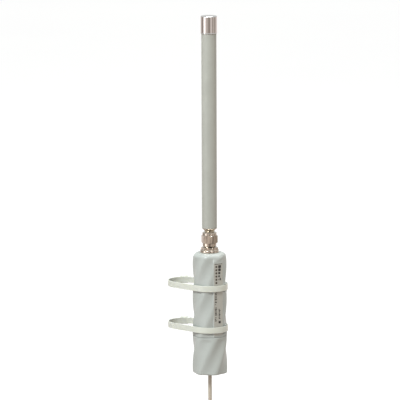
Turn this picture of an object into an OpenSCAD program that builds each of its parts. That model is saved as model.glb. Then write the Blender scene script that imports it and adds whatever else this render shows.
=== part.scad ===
// Pole-mounted outdoor radio with a screw-on omnidirectional rod antenna.
// The origin is on the axis of the mast that the ties grip, midway between the two ties.
// +Z runs up the mast and the antenna, and -Y points from the mast to the radio housing.
// Heights on the housing, the antenna and the cable are measured from the housing's own origin.

/* [Mast and cable ties] */
// Outer diameter of the mast that the two ties grip
mast_d = 39; // [36:0.5:42]
// Distance between the middles of the two ties
tie_spacing = 53; // [48:1:56]
// Width of the nylon strap
tie_w = 7.6; // [6:0.2:8]
// Thickness of the nylon strap
tie_t = 1.3; // [1:0.1:1.6]

/* [Housing] */
// Height of the housing's own origin, from midway between the ties
housing_z = -1.5; // [-2:0.1:-1]
// Largest radius of the housing, over its lobes
body_r = 22; // [21.5:0.1:22.5]
// Depth setting of the twisted grooves between the lobes
groove = 2; // [1.4:0.1:2.2]
// Number of lobes round the housing
lobes = 6; // [5:1:8]
// Loss of radius for each millimetre of height, so that the shell leaves its mould
draft = 0.005; // [0:0.001:0.006]
// Turn of the lobes for each millimetre of height, in degrees
twist = 1.37; // [0.8:0.01:1.8]
// Height of the housing's flat top
body_top = 71.5; // [71.4:0.1:71.8]
// Height of the joint between the upper shell and the bottom cover
seam_z = -34.6; // [-35:0.1:-34]
// Height of the housing's underside
body_bottom = -83; // [-84:0.1:-82]
// Radius of the rounded shoulder at the top
shoulder_r = 5.8; // [5:0.1:6]
// Distance from the housing's axis to the flat pad under the label
pad_dist = 20.35; // [20.2:0.05:20.35]

/* [Antenna] */
// Outer diameter of the fibreglass tube
tube_d = 19; // [18.8:0.1:19.4]
// Wall thickness of the fibreglass tube
tube_wall = 1.5; // [1.2:0.1:1.5]
// Diameter of the metal end cap
cap_d = 20.5; // [20.4:0.1:21.5]
// Height of the end cap
cap_h = 22.2; // [16:0.1:24]
// Height of the very top of the antenna
antenna_top = 371; // [369:0.1:373]

/* [Cable] */
// Diameter of the network cable
cable_d = 4.8; // [4.6:0.1:5]
// Length of the straight runs in the folded cable
hank_run = 84; // [80:1:100]
// Layers of cable in the fold, one behind the other
hank_layers = 6; // [5:1:7]

/* [Hidden] */
$fn = 96;

mast_r = mast_d / 2;
axis_gap = mast_r + body_r + 0.1;      // mast axis to housing axis
tie_head_angle = 40;                   // where the ties' heads sit round the mast
head_size = [7, 9.5, 9];

lobe_phase = 57.3;                     // direction of one lobe at the underside
pad_angle = 251.5;                     // direction that the label pad faces
outline_points = 48;                   // points round the skin, placed so that two fall on the pad's edges
outline_step = 360 / outline_points;
pad_half = 2.5 * outline_step;
shell_bore_r = 18.3;
spigot_r = 18.1;
spigot_bore_r = 16;
spigot_h = 10;
cover_bore_r = 18.4;
cover_gap = 0.3;
cover_floor = 2.5;
gland_r = 5;
ring_step = 4.2;

label_size = [12.6, 92];
label_t = 0.15;
led_column = -2.9;                     // sideways place of the light column on the pad
led_low = 35;
led_pitch = 4.1;
led_count = 6;
pipe_r = 1.1;

board_front = 6.5;
board_t = 1.6;
board_w = 27;
board_z = [-60, 62];
jack_mouth = -63;
jack_size = [16, 13.4, 18];
plug_size = [11.7, 8, 21.5];
plug_front = -49.5;

thread_r = 7.94;                       // 5/8-24 thread of the N connector
thread_pitch = 25.4 / 24;
female_top = 88;
female_bore_r = 4.3;
nut_bottom = 79.6;
nut_top = 97.3;
nut_hex_z = [83.6, 93.6];
nut_hex_r = 10.7;                      // over the hexagon's corners
nut_hex_turn = -5.9;                   // turn of the hexagon with the nut done up
flange_r = 11.7;                       // of the nut that holds the connector to the housing
flange_z = [body_top + 0.6, body_top + 3.5, body_top + 6.9];
base_z = 97.7;
tube_z = 102.7;
tube_r = tube_d / 2;
tube_in_r = tube_r - tube_wall;
cap_roof = 2;
cap_z = antenna_top - cap_h;
tube_top = antenna_top - cap_roof - 0.6;

rod_r = 1.5;
coil_r = 4;
coil_wire_r = 0.8;
coil_turns = 4;
coil_low = [215, 291];                 // where each coil leaves the rod below it
coil_h = 16;
rod_z = [[156.2, 214.1], [231.9, 290.1], [307.9, 345]];
disc_z = [119, 185, 262, 326];

fold_r = 16;                           // fold radius, about three cable diameters
layer_pitch = 4.9;
hank_top_z = -164.6;                   // middle of the upper folds
cable_start = -71;
far_plug_at = [-16, -31.6, -225];
// Route of the free stretch of cable, from the housing's axis
route = [
    [0, 0, -71], [0, 0, -80], [0, 0, -90], [0, 0, -100], [0, 0, -110], [0, 0, -120],
    [0, 0, -130], [0, 0, -138], [-0.5, 0, -143], [-1.8, 0, -148]
];

// ---------- helpers ----------

// Moves to the housing's own axis
module at_housing() translate([0, -axis_gap, housing_z]) children();

// Turns the housing's axis so that -Y faces out through the label pad
module at_pad() at_housing() rotate([0, 0, pad_angle - 270]) children();

// A ring or tube standing on the z axis
module ring(r_out, r_in, z_low, z_high) {
    translate([0, 0, z_low]) difference() {
        cylinder(r = r_out, h = z_high - z_low);
        translate([0, 0, -1]) cylinder(r = r_in, h = z_high - z_low + 2);
    }
}

// An O-ring standing on the z axis
module o_ring(r_mid, r_wire, z) {
    translate([0, 0, z]) rotate_extrude() translate([r_mid, 0]) circle(r = r_wire, $fn = 32);
}

// A box from its lowest corner to its highest
module span(low, high) translate(low) cube(high - low);

function unit(v) = v / norm(v);

// Faces of a closed tube of rings, each with the same number of points
function tube_faces(rings, n) = concat(
    [for (i = [0 : rings - 2], j = [0 : n - 1]) [i * n + j, (i + 1) * n + j, i * n + (j + 1) % n]],
    [for (i = [0 : rings - 2], j = [0 : n - 1])
        [(i + 1) * n + j, (i + 1) * n + (j + 1) % n, i * n + (j + 1) % n]],
    [[for (j = [0 : n - 1]) j]],
    [[for (j = [n - 1 : -1 : 0]) (rings - 1) * n + j]]
);

// Direction of travel at point i of a path
function heading(path, i) = unit(path[min(i + 1, len(path) - 1)] - path[max(i - 1, 0)]);

// One ring of points round point i of a path, square to the path
function path_ring(path, i, r, n, side) =
    let (t = heading(path, i), u = unit(cross(t, side)), v = cross(t, u))
    [for (j = [0 : n - 1]) path[i] + r * (cos(360 * j / n) * u + sin(360 * j / n) * v)];

// A round wire or cable along a path
module sweep(path, r, n, side) {
    points = [for (i = [0 : len(path) - 1]) each path_ring(path, i, r, n, side)];
    polyhedron(points, tube_faces(len(path), n));
}

// ---------- the housing's twisted, lobed skin ----------

function lobe_cut(a) = groove * (0.5 - 0.465 * cos(lobes * a) - 0.035 * cos(2 * lobes * a));
function drawn_r(z) = body_r - draft * (z - body_bottom);
function lobe_at(a, z) = drawn_r(z) - lobe_cut(a - lobe_phase - twist * (z - body_bottom));
function skin_r(off_pad, z, padded) =
    padded && abs(off_pad) < pad_half + 0.1 ? pad_dist / cos(off_pad) : lobe_at(pad_angle + off_pad, z);

// One ring of the skin, drawn in by the amount that an edge is rounded
function skin_ring(z, inset, padded) = [for (k = [0 : outline_points - 1])
    let (off_pad = outline_step * (k + 0.5) - 180, r = skin_r(off_pad, z, padded) - inset)
    [r * cos(pad_angle + off_pad), r * sin(pad_angle + off_pad), z]];

function steps(low, high) = max(2, ceil((high - low) / ring_step));

// Solid of the skin from one height to another, with a rounded edge at the top or bottom
module skin(low, high, top_round, bottom_round, padded) {
    z1 = low + bottom_round;
    z2 = high - top_round;
    n = steps(z1, z2);
    foot = bottom_round == 0 ? [] : [[low, bottom_round], [low + 0.3 * bottom_round, 0.3 * bottom_round]];
    wall = [for (i = [0 : n]) [z1 + (z2 - z1) * i / n, 0]];
    arc = top_round == 0 ? [] : [for (t = [22.5 : 22.5 : 90])
        [z2 + top_round * sin(t), top_round * (1 - cos(t))]];
    rings = concat(foot, wall, arc);
    points = [for (s = rings) each skin_ring(s[0], s[1], padded)];
    polyhedron(points, tube_faces(len(rings), outline_points));
}

// Short ribs that keep a tie from sliding along the housing
module tie_guides() {
    for (z = [-1, 1] * tie_spacing / 2, side = [-1, 1])
        translate([0, 0, z - housing_z + side * (tie_w / 2 + 1.1)])
            rotate([0, 0, 276])
                rotate_extrude(angle = 18)
                    translate([20, -0.7]) square([2.7, 1.4]);
}

// Rails that the board's edges slide into
module board_rails() {
    for (side = [-1, 1], y = [board_front - 1.5, board_front + board_t + 0.2])
        translate([side > 0 ? 12.6 : -17.5, y, -29]) cube([4.9, 1.3, 88]);
}

module upper_shell() color([0.76, 0.77, 0.76]) {
    bore = [
        [0, seam_z - spigot_h - 1], [spigot_bore_r, seam_z - spigot_h - 1],
        [spigot_bore_r, seam_z + 4], [shell_bore_r, seam_z + 6.5], [shell_bore_r, body_top - 11],
        [13, body_top - 3], [8.2, body_top - 3], [8.2, body_top + 1], [0, body_top + 1]
    ];
    at_housing() difference() {
        union() {
            skin(seam_z, body_top, shoulder_r, 0, true);
            translate([0, 0, seam_z - spigot_h]) cylinder(r = spigot_r, h = spigot_h + 2);
            tie_guides();
        }
        rotate_extrude() polygon(bore);
        ring(spigot_r + 1, 17.1, seam_z - 6.2, seam_z - 4.6);
        rotate([0, 0, pad_angle - 270]) for (i = [0 : led_count - 1])
            translate([led_column, -16, led_low + i * led_pitch])
                rotate([90, 0, 0]) cylinder(r = pipe_r + 0.1, h = 8);
    }
    at_pad() board_rails();
}

module bottom_cover() color([0.75, 0.76, 0.75]) at_housing() difference() {
    skin(body_bottom, seam_z - cover_gap, 0, 1.6, false);
    translate([0, 0, body_bottom + cover_floor]) cylinder(r = cover_bore_r, h = 60);
    translate([0, 0, body_bottom - 1]) cylinder(r = gland_r, h = 6);
}

module shell_seal() color([0.12, 0.12, 0.12]) at_housing() o_ring(17.75, 0.6, seam_z - 5.4);

module cable_grommet() color([0.2, 0.2, 0.2]) at_housing() rotate_extrude() polygon([
    [cable_d / 2 + 0.1, body_bottom - 0.4], [gland_r - 0.05, body_bottom - 0.4],
    [gland_r - 0.05, body_bottom + cover_floor], [gland_r + 1.5, body_bottom + cover_floor],
    [gland_r + 1.5, body_bottom + cover_floor + 1.2], [cable_d / 2 + 0.6, body_bottom + 6.5],
    [cable_d / 2 + 0.1, body_bottom + 6.5]
]);

module label() color([0.8, 0.8, 0.78]) at_pad() difference() {
    translate([-label_size[0] / 2, -pad_dist - label_t, -32]) cube([label_size[0], label_t, label_size[1]]);
    for (i = [0 : led_count - 1])
        translate([led_column, -pad_dist + 1, led_low + i * led_pitch])
            rotate([90, 0, 0]) cylinder(r = pipe_r, h = 3);
}

// ---------- lights ----------

module light_pipe() color([0.9, 0.95, 0.95]) at_pad() {
    for (i = [0 : led_count - 1])
        translate([led_column, 5.4, led_low + i * led_pitch])
            rotate([90, 0, 0]) cylinder(r = pipe_r - 0.05, h = pad_dist + 5.4);
    span([led_column - 1.6, 1, led_low - 2], [led_column + 1.6, 3, led_low + 22.5]);
}

module status_leds() color([0.95, 0.95, 0.8]) at_pad() {
    for (i = [0 : led_count - 1])
        translate([led_column - 0.8, board_front - 0.7, led_low - 0.4 + i * led_pitch])
            cube([1.6, 0.7, 0.8]);
}

// ---------- cable ties ----------

// A strap round the mast and the housing, with its head against the back of the mast
module cable_tie(z) {
    tie_r = drawn_r(z - tie_w / 2 - housing_z) + 0.07;  // inner radius round the housing
    lean = asin((tie_r - mast_r) / axis_gap);
    normal = [cos(lean), sin(lean)];
    along = [-sin(lean), cos(lean)];
    lap = 0.5;                         // the straight parts reach this far into the curved ones
    skim = 0.05;                       // and are thinner by this on each side
    housing_axis = [0, -axis_gap];
    span_points = [
        (mast_r + skim) * normal + lap * along,
        (mast_r + tie_t - skim) * normal + lap * along,
        housing_axis + (tie_r + tie_t - skim) * normal - lap * along,
        housing_axis + (tie_r + skim) * normal - lap * along
    ];
    translate([0, 0, z - tie_w / 2]) {
        rotate([0, 0, lean]) rotate_extrude(angle = 180 - 2 * lean)
            translate([mast_r, 0]) square([tie_t, tie_w]);
        translate(housing_axis) rotate([0, 0, 180 - lean]) rotate_extrude(angle = 180 + 2 * lean)
            translate([tie_r, 0]) square([tie_t, tie_w]);
        linear_extrude(tie_w) polygon(span_points);
        mirror([1, 0, 0]) linear_extrude(tie_w) polygon(span_points);
    }
    translate([0, 0, z]) rotate([0, 0, tie_head_angle]) difference() {
        translate([mast_r, -head_size[1] / 2, -head_size[2] / 2]) cube(head_size);
        translate([mast_r + tie_t + 0.4, -8, -tie_w / 2 - 0.2]) cube([tie_t + 0.3, 16, tie_w + 0.4]);
        cylinder(r = mast_r + 0.3, h = 20, center = true);
    }
}

module tie_upper() color([0.9, 0.9, 0.84]) cable_tie(tie_spacing / 2);

module tie_lower() color([0.9, 0.9, 0.84]) cable_tie(-tie_spacing / 2);

// ---------- the housing's connector ----------

module bulkhead_nut() color([0.72, 0.68, 0.62]) at_housing() difference() {
    union() {
        rotate_extrude() polygon([
            [0, flange_z[0]], [flange_r - 0.2, flange_z[0]], [flange_r, flange_z[0] + 0.3],
            [flange_r, flange_z[1] - 0.6], [flange_r - 0.5, flange_z[1]], [0, flange_z[1]]
        ]);
        intersection() {
            translate([0, 0, flange_z[1] - 0.1])
                cylinder(r = flange_r - 0.8, h = flange_z[2] - flange_z[1] + 0.1, $fn = 6);
            rotate_extrude() polygon([
                [0, flange_z[1] - 0.1], [flange_r, flange_z[1] - 0.1], [flange_r, flange_z[2] - 1],
                [flange_r - 1.9, flange_z[2]], [0, flange_z[2]]
            ]);
        }
    }
    cylinder(r = thread_r + 0.06, h = 200);
}

module lock_washer() color([0.7, 0.67, 0.62]) at_housing()
    ring(flange_r + 0.3, thread_r + 0.1, body_top, body_top + 0.6);

module bulkhead_gasket() color([0.15, 0.15, 0.15]) at_housing()
    ring(11, thread_r + 0.1, body_top - 3.6, body_top - 3);

module n_female_body() color([0.75, 0.71, 0.65]) {
    ridges = 10;
    thread_z = body_top + 4.1;
    thread = [for (i = [0 : ridges - 1]) each [
        [thread_r, thread_z + (i + 0.25) * thread_pitch],
        [thread_r - 0.55, thread_z + (i + 0.75) * thread_pitch]
    ]];
    outline = concat(
        [
            [female_bore_r, 60], [5.2, 60], [5.2, body_top - 6.5], [11, body_top - 6.5],
            [11, body_top - 3.6], [thread_r, body_top - 3.6]
        ],
        thread,
        [[thread_r - 0.6, female_top], [female_bore_r, female_top]]
    );
    at_housing() rotate_extrude() polygon(outline);
}

module female_insulator() color([0.93, 0.93, 0.9]) at_housing() ring(female_bore_r - 0.02, 1.65, 61, 79);

module female_contact() color([0.85, 0.7, 0.35]) at_housing() difference() {
    translate([0, 0, 56]) cylinder(r = 1.6, h = 31);
    translate([0, 0, 80]) cylinder(r = 1.1, h = 8);
}

module rf_lead() color([0.8, 0.5, 0.3]) at_pad()
    translate([0, board_front, 57.4]) rotate([90, 0, 0]) cylinder(r = 0.6, h = board_front - 1.7);

// ---------- the board ----------

module main_board() color([0.1, 0.35, 0.2]) at_pad()
    span([-board_w / 2, board_front, board_z[0]], [board_w / 2, board_front + board_t, board_z[1]]);

module rf_shield() color([0.75, 0.76, 0.78]) at_pad() difference() {
    span([-11, 2.6, 5], [11, board_front, 31]);
    span([-10.7, 2.9, 5.3], [10.7, board_front + 1, 30.7]);
}

module processor_chips() color([0.12, 0.12, 0.13]) at_pad() {
    span([-7, board_front - 1.2, -23], [7, board_front, -9]);
    for (x = [-10, 2])
        span([x, board_front - 1.1, -6], [x + 8, board_front, 3]);
}

module ethernet_magnetics() color([0.1, 0.1, 0.1]) at_pad()
    span([-8, 0.6, -42], [8, board_front, -28]);

module rj45_jack() color([0.2, 0.2, 0.22]) at_pad() difference() {
    translate([-jack_size[0] / 2, board_front - jack_size[1], jack_mouth]) cube(jack_size);
    span([-6.1, -4.3, jack_mouth - 1], [6.1, 4.3, plug_front + 0.6]);
    span([-3.3, -6.4, jack_mouth - 1], [3.3, 0, plug_front + 0.6]);
}

module jack_contacts() color([0.85, 0.7, 0.3]) at_pad() for (i = [0 : 7])
    translate([(i - 3.5) * 1.27, board_front + board_t + 1, i % 2 == 0 ? -55 : -57.5])
        rotate([90, 0, 0]) cylinder(r = 0.25, h = board_t + 1, $fn = 24);

module reset_switch() color([0.15, 0.15, 0.16]) at_pad() difference() {
    span([8.9, 2.3, -60], [13.5, board_front, -55.8]);
    translate([11.2, 4.4, -60.5]) cylinder(r = 1.3, h = 2.6);
}

module reset_button() color([0.75, 0.2, 0.15]) at_pad()
    translate([11.2, 4.4, -62.4]) cylinder(r = 1, h = 3.9);

// ---------- network plugs ----------

// An eight-way plug with its cable end at the origin and its nose along +Z
module eight_way_plug() {
    difference() {
        translate([-plug_size[0] / 2, -plug_size[1] / 2, 0]) cube(plug_size);
        for (i = [0 : 7])
            translate([(i - 3.5) * 1.02 - 0.25, 2.8, plug_size[2] - 7]) cube([0.5, 2, 8]);
    }
    translate([-3, 0, 0]) rotate([90, 0, 90]) linear_extrude(6)
        polygon([[-3.9, 21], [-5.6, 14], [-5.9, 5], [-5.1, 5], [-4.8, 13], [-3.9, 17]]);
}

module lan_plug() color([0.85, 0.88, 0.9]) at_pad()
    translate([0, 0, cable_start]) eight_way_plug();

module far_plug() color([0.85, 0.88, 0.9]) at_housing()
    translate(far_plug_at - [0, 0, 13]) rotate([180, 0, 180]) eight_way_plug();

module far_plug_boot() color([0.5, 0.49, 0.46]) at_housing()
    translate(far_plug_at - [0, 0, 13]) cylinder(r1 = 3.9, r2 = 3.1, h = 13);

// ---------- the antenna ----------

module radome_tube() color([0.68, 0.68, 0.65]) at_housing() ring(tube_r, tube_in_r, tube_z, tube_top);

module top_cap() color([0.8, 0.8, 0.8]) at_housing() difference() {
    rotate_extrude() polygon([
        [0, cap_z], [cap_d / 2 - 0.3, cap_z], [cap_d / 2, cap_z + 0.3], [cap_d / 2, antenna_top - 0.8],
        [cap_d / 2 - 0.8, antenna_top], [0, antenna_top]
    ]);
    translate([0, 0, cap_z - 1]) cylinder(r = tube_r + 0.05, h = cap_h - cap_roof + 1);
}

module cap_seal() color([0.2, 0.2, 0.2]) at_housing()
    translate([0, 0, tube_top]) cylinder(r = tube_r, h = antenna_top - cap_roof - tube_top);

module antenna_base() color([0.73, 0.7, 0.64]) at_housing() difference() {
    rotate_extrude() polygon([
        [0, base_z], [6.2, base_z], [6.3, base_z + 0.9], [tube_r, tube_z - 1], [tube_r, tube_z],
        [tube_in_r - 0.05, tube_z], [tube_in_r - 0.05, tube_z + 12], [0, tube_z + 12]
    ]);
    translate([0, 0, base_z - 1]) cylinder(r = 5.25, h = 4);
    cylinder(r = 2.1, h = 200);
    ring(tube_in_r + 1, 6.7, tube_z + 4.8, tube_z + 6.4);
}

module base_seal() color([0.12, 0.12, 0.12]) at_housing()
    o_ring(tube_in_r - 0.65, 0.58, tube_z + 5.6);

module n_male_body() color([0.75, 0.71, 0.65]) at_housing() rotate_extrude() polygon([
    [3.4, 80.5], [3.85, 80.5], [3.95, 81.2], [3.95, 89], [7.5, 89], [7.5, 90],
    [6, 90], [6, 91.2], [5.6, 91.2], [5.6, 92.4], [6, 92.4], [6, base_z - 0.1],
    [5.2, base_z - 0.1], [5.2, base_z + 2.9], [3.4, base_z + 2.9]
]);

module male_insulator() color([0.93, 0.93, 0.9]) at_housing() ring(3.38, 0.86, 89, 98.5);

module male_pin() color([0.85, 0.7, 0.35]) at_housing() rotate_extrude()
    polygon([[0, 82.5], [0.3, 82.5], [0.8, 83.6], [0.8, 101], [0, 101]]);

module front_gasket() color([0.75, 0.3, 0.2]) at_housing() ring(7.4, 4.05, 88.1, 88.95);

module nut_retainer() color([0.7, 0.7, 0.7]) at_housing() ring(7.25, 5.65, 91.35, 92.25);

module coupling_nut() color([0.76, 0.72, 0.66]) at_housing() difference() {
    union() {
        ring(8.7, 7.6, nut_bottom, nut_hex_z[0]);
        intersection() {
            translate([0, 0, nut_hex_z[0]]) rotate([0, 0, nut_hex_turn])
                cylinder(r = nut_hex_r, h = nut_hex_z[1] - nut_hex_z[0], $fn = 6);
            rotate_extrude() polygon([
                [0, nut_hex_z[0]], [nut_hex_r - 1.1, nut_hex_z[0]], [nut_hex_r + 0.1, nut_hex_z[0] + 0.8],
                [nut_hex_r + 0.1, nut_hex_z[1] - 0.8], [nut_hex_r - 1.1, nut_hex_z[1]], [0, nut_hex_z[1]]
            ]);
        }
        rotate_extrude() polygon([
            [0, nut_hex_z[1]], [9, nut_hex_z[1]], [9, nut_top - 0.8], [8.2, nut_top], [0, nut_top]
        ]);
    }
    rotate_extrude() polygon([
        [0, nut_bottom - 1], [8.05, nut_bottom - 1], [8.05, 90.3], [6.9, 90.3], [6.9, 91],
        [7.6, 91], [7.6, 92.6], [6.3, 92.6], [6.3, nut_top + 1], [0, nut_top + 1]
    ]);
}

module feed_coax() color([0.8, 0.55, 0.35]) at_housing()
    translate([0, 0, 101.2]) cylinder(r = 1.8, h = 54.8);

module choke_sleeve() color([0.8, 0.65, 0.35]) at_housing() {
    ring(5, 4.5, 125, 155);
    ring(4.6, 1.85, 154, 155);
}

module radiator(i) color([0.8, 0.6, 0.35]) at_housing()
    translate([0, 0, rod_z[i][0]]) cylinder(r = rod_r, h = rod_z[i][1] - rod_z[i][0]);

module lower_radiator() radiator(0);

module middle_radiator() radiator(1);

module upper_radiator() radiator(2);

// A phasing coil: out from the axis, up round the former, and back to the axis
module phasing_coil(low) color([0.82, 0.5, 0.3]) at_housing() {
    steps_per_turn = 12;
    turns = [for (i = [0 : coil_turns * steps_per_turn])
        let (a = 360 * i / steps_per_turn)
        [coil_r * cos(a), coil_r * sin(a), low + 1.2 + (coil_h - 2.4) * i / (coil_turns * steps_per_turn)]];
    leads = [[0, -1.2, low], [1.6, -2.4, low + 0.2], [3.2, -1.6, low + 0.7]];
    upper_leads = [for (p = [2 : -1 : 0]) [leads[p][0], -leads[p][1], 2 * low + coil_h - leads[p][2]]];
    path = concat(leads, turns, upper_leads);
    sweep(path, coil_wire_r, 8, [0, 0, 1]);
}

module lower_coil() phasing_coil(coil_low[0]);

module upper_coil() phasing_coil(coil_low[1]);

module coil_former(low) color([0.93, 0.93, 0.9]) at_housing()
    translate([0, 0, low + 2]) cylinder(r = 3, h = coil_h - 4);

module lower_former() coil_former(coil_low[0]);

module upper_former() coil_former(coil_low[1]);

module centring_discs() color([0.95, 0.95, 0.93]) at_housing() for (i = [0 : len(disc_z) - 1])
    ring(tube_in_r - 0.1, i == 0 ? 1.85 : rod_r + 0.05, disc_z[i] - 1.5, disc_z[i] + 1.5);

// ---------- the network cable ----------

module cable() color([0.56, 0.54, 0.5]) at_housing() sweep(route, cable_d / 2, 12, [0, 1, 0]);

// The folded cable's outer shape: round ends, straight runs
module cable_hank() color([0.56, 0.54, 0.5]) at_housing() {
    r = fold_r + cable_d / 2 + 0.1;
    depth = (hank_layers - 1) * layer_pitch + cable_d + 0.2;
    translate([0, cable_d / 2 + 0.1, 0]) rotate([90, 0, 0]) linear_extrude(depth) {
        translate([0, hank_top_z]) circle(r = r);
        translate([0, hank_top_z - hank_run]) circle(r = r);
        translate([-r, hank_top_z - hank_run]) square([2 * r, hank_run]);
    }
}

module hank_tie() color([0.12, 0.12, 0.13]) at_housing() {
    half = fold_r + cable_d / 2 + 0.15;
    back = cable_d / 2 + 0.15;
    front = -(hank_layers - 1) * layer_pitch - back;
    wrap = 1.4;
    difference() {
        span([-half - wrap, front - wrap, -193], [half + wrap, back + wrap, -183]);
        span([-half, front, -194], [half, back, -182]);
    }
}

upper_shell();
bottom_cover();
shell_seal();
cable_grommet();
label();
light_pipe();
status_leds();
tie_upper();
tie_lower();
bulkhead_nut();
lock_washer();
bulkhead_gasket();
n_female_body();
female_insulator();
female_contact();
rf_lead();
main_board();
rf_shield();
processor_chips();
ethernet_magnetics();
rj45_jack();
jack_contacts();
reset_switch();
reset_button();
lan_plug();
radome_tube();
top_cap();
cap_seal();
antenna_base();
base_seal();
n_male_body();
male_insulator();
male_pin();
front_gasket();
nut_retainer();
coupling_nut();
feed_coax();
choke_sleeve();
lower_radiator();
middle_radiator();
upper_radiator();
lower_coil();
upper_coil();
lower_former();
upper_former();
centring_discs();
cable();
cable_hank();
hank_tie();
far_plug();
far_plug_boot();
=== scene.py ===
"""Looks of an outdoor radio with a screw-on omnidirectional rod antenna.

Outlines and places are in millimetres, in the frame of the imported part, and become metres when
a mesh is made.
"""
import math

import bmesh
import bpy
from mathutils import Matrix, Vector


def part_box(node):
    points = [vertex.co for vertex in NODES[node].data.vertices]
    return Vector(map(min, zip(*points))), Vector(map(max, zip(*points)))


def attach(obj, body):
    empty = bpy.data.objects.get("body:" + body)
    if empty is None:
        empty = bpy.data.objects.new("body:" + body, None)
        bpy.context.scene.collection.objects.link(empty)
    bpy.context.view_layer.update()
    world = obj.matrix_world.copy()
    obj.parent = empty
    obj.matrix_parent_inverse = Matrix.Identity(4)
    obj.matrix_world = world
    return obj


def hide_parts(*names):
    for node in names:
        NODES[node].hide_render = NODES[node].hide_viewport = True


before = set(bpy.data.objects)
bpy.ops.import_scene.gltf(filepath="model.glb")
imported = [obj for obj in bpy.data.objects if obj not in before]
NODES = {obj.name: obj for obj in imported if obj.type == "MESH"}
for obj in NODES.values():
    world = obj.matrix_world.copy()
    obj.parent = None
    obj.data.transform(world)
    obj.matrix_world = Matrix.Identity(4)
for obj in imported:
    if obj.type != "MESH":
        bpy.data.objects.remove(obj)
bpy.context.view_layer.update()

MM = 0.001
TAU = 2 * math.pi


def corners(node):
    """Lowest and highest corner of a CAD node, in millimetres."""
    low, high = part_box(node)
    return Vector(low) / MM, Vector(high) / MM


# ---------- places taken from the frame ----------

TUBE_LOW, TUBE_HIGH = corners("radome_tube")
SHELL_HIGH = corners("upper_shell")[1]
COVER_LOW, COVER_HIGH = corners("bottom_cover")
CAP_LOW, CAP_HIGH = corners("top_cap")
NUT_LOW, NUT_HIGH = corners("coupling_nut")
BASE_LOW, BASE_HIGH = corners("antenna_base")
FLANGE_LOW, FLANGE_HIGH = corners("bulkhead_nut")
BARREL_LOW, BARREL_HIGH = corners("n_female_body")
AXIS = Vector(((TUBE_LOW.x + TUBE_HIGH.x) / 2, (TUBE_LOW.y + TUBE_HIGH.y) / 2, 0))
ORIGIN = AXIS + Vector((0, 0, -1.5))      # the housing's own origin

# ---------- the housing's shape ----------

BODY_R = 22.0
GROOVE = 2.0
LOBES = 6
LOBE_PHASE = 57.3          # direction of one lobe at the underside, in degrees
DRAFT = 0.005              # loss of radius for each millimetre of height
TWIST = 1.37               # degrees for each millimetre of height
COVER_GAP = 0.3
SEAM_Z = COVER_HIGH.z + COVER_GAP
SHOULDER_R = 5.8
SHOULDER_STEPS = 12
PAD_ANGLE = 251.5          # direction that the label pad faces
PAD_DIST = 20.35
PAD_HALF = math.degrees(math.asin(6.8 / BODY_R))
PAD_FOOT = 3.4             # degrees from the pad's edge to the foot of its step
PAD_STEP = 4.0             # degrees that the step takes up
PAD_TOP_FOOT = 5.5         # the same below the housing's top, in millimetres
PAD_TOP_STEP = 4.5
FADE_SHARE = 0.55          # share of the lobes that is gone at the top
FADE_HEIGHT = 12           # height over which that share goes
LIP_HEIGHT = 4.6           # plain lip at the top of the bottom cover
LIP_STEP = 1.2
SHELL_BORE_R = 18.3
SPIGOT_R = 18.1
SPIGOT_BORE_R = 16.0
COVER_BORE_R = 18.4
LED_COLUMN = -2.9
LED_LOW = 35.0
LED_PITCH = 4.1
LED_COUNT = 6

# ---------- the cable ----------

CABLE_D = 4.8
FOLD_R = 16.0
LAYER_PITCH = 4.9
HANK_TOP = -164.6
HANK_RUN = 84.0
HANK_TURNS = 5
FAR_PLUG = Vector((-16, -31.6, -225))
BOOT_LENGTH = 13
PLUG_LENGTH = 21.5
CONTACTS = 8
CONTACT_PITCH = 1.02
# The free stretch of cable, from the housing's own origin
ROUTE = [
    (0, 0, -71), (0, 0, -80), (0, 0, -90), (0, 0, -100), (0, 0, -110), (0, 0, -120),
    (0, 0, -130), (0, 0, -138), (-0.5, 0, -143), (-1.8, 0, -148),
]


# ---------- mesh helpers ----------

HEX_CROWN = 0.15           # how far the middle of a hexagon's flat stands out
SHADING_WEIGHT = 80        # how strongly large faces lead the shading at their edges


def smoothstep(t):
    t = min(max(t, 0.0), 1.0)
    return t * t * (3 - 2 * t)


def polar(radius, angle, z):
    """A point round the housing's axis, from an angle in degrees."""
    a = math.radians(angle)
    return Vector((AXIS.x + radius * math.cos(a), AXIS.y + radius * math.sin(a), z))


def make_piece(name, points, faces, body, sharp=32.0, node=None, slot=None, material=None):
    """A mesh piece from points in millimetres, smooth apart from its sharp edges."""
    mesh = bpy.data.meshes.new(name)
    mesh.from_pydata([Vector(p) * MM for p in points], [], faces)
    obj = bpy.data.objects.new(name, mesh)
    bpy.context.scene.collection.objects.link(obj)
    shape = bmesh.new()
    shape.from_mesh(mesh)
    bmesh.ops.recalc_face_normals(shape, faces=shape.faces)
    limit = math.radians(sharp)
    for face in shape.faces:
        face.smooth = True
    for edge in shape.edges:
        if len(edge.link_faces) == 2 and edge.calc_face_angle(0) > limit:
            edge.smooth = False
    shape.to_mesh(mesh)
    shape.free()
    if material:
        mesh.materials.append(material)
    # Long flat walls keep their own shading next to small rounded edges
    even = obj.modifiers.new("even_shading", "WEIGHTED_NORMAL")
    even.keep_sharp = True
    even.weight = SHADING_WEIGHT
    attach(obj, body)
    if node:
        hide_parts(*([node] if isinstance(node, str) else node))
    return obj


def grid_faces(rings, count, closed):
    """Quads between rings of equal counts.

    A closed loft joins the last ring to the first, and an open one gets end caps.
    """
    faces = []
    last = rings if closed else rings - 1
    for i in range(last):
        a, b = i * count, ((i + 1) % rings) * count
        for j in range(count):
            k = (j + 1) % count
            faces.append((a + j, a + k, b + k, b + j))
    if not closed:
        faces.append(tuple(range(count - 1, -1, -1)))
        faces.append(tuple((rings - 1) * count + j for j in range(count)))
    return faces


def loft(rings, closed=True):
    """Points and faces of a surface through rings of points."""
    count = len(rings[0])
    return [p for ring in rings for p in ring], grid_faces(len(rings), count, closed)


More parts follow.
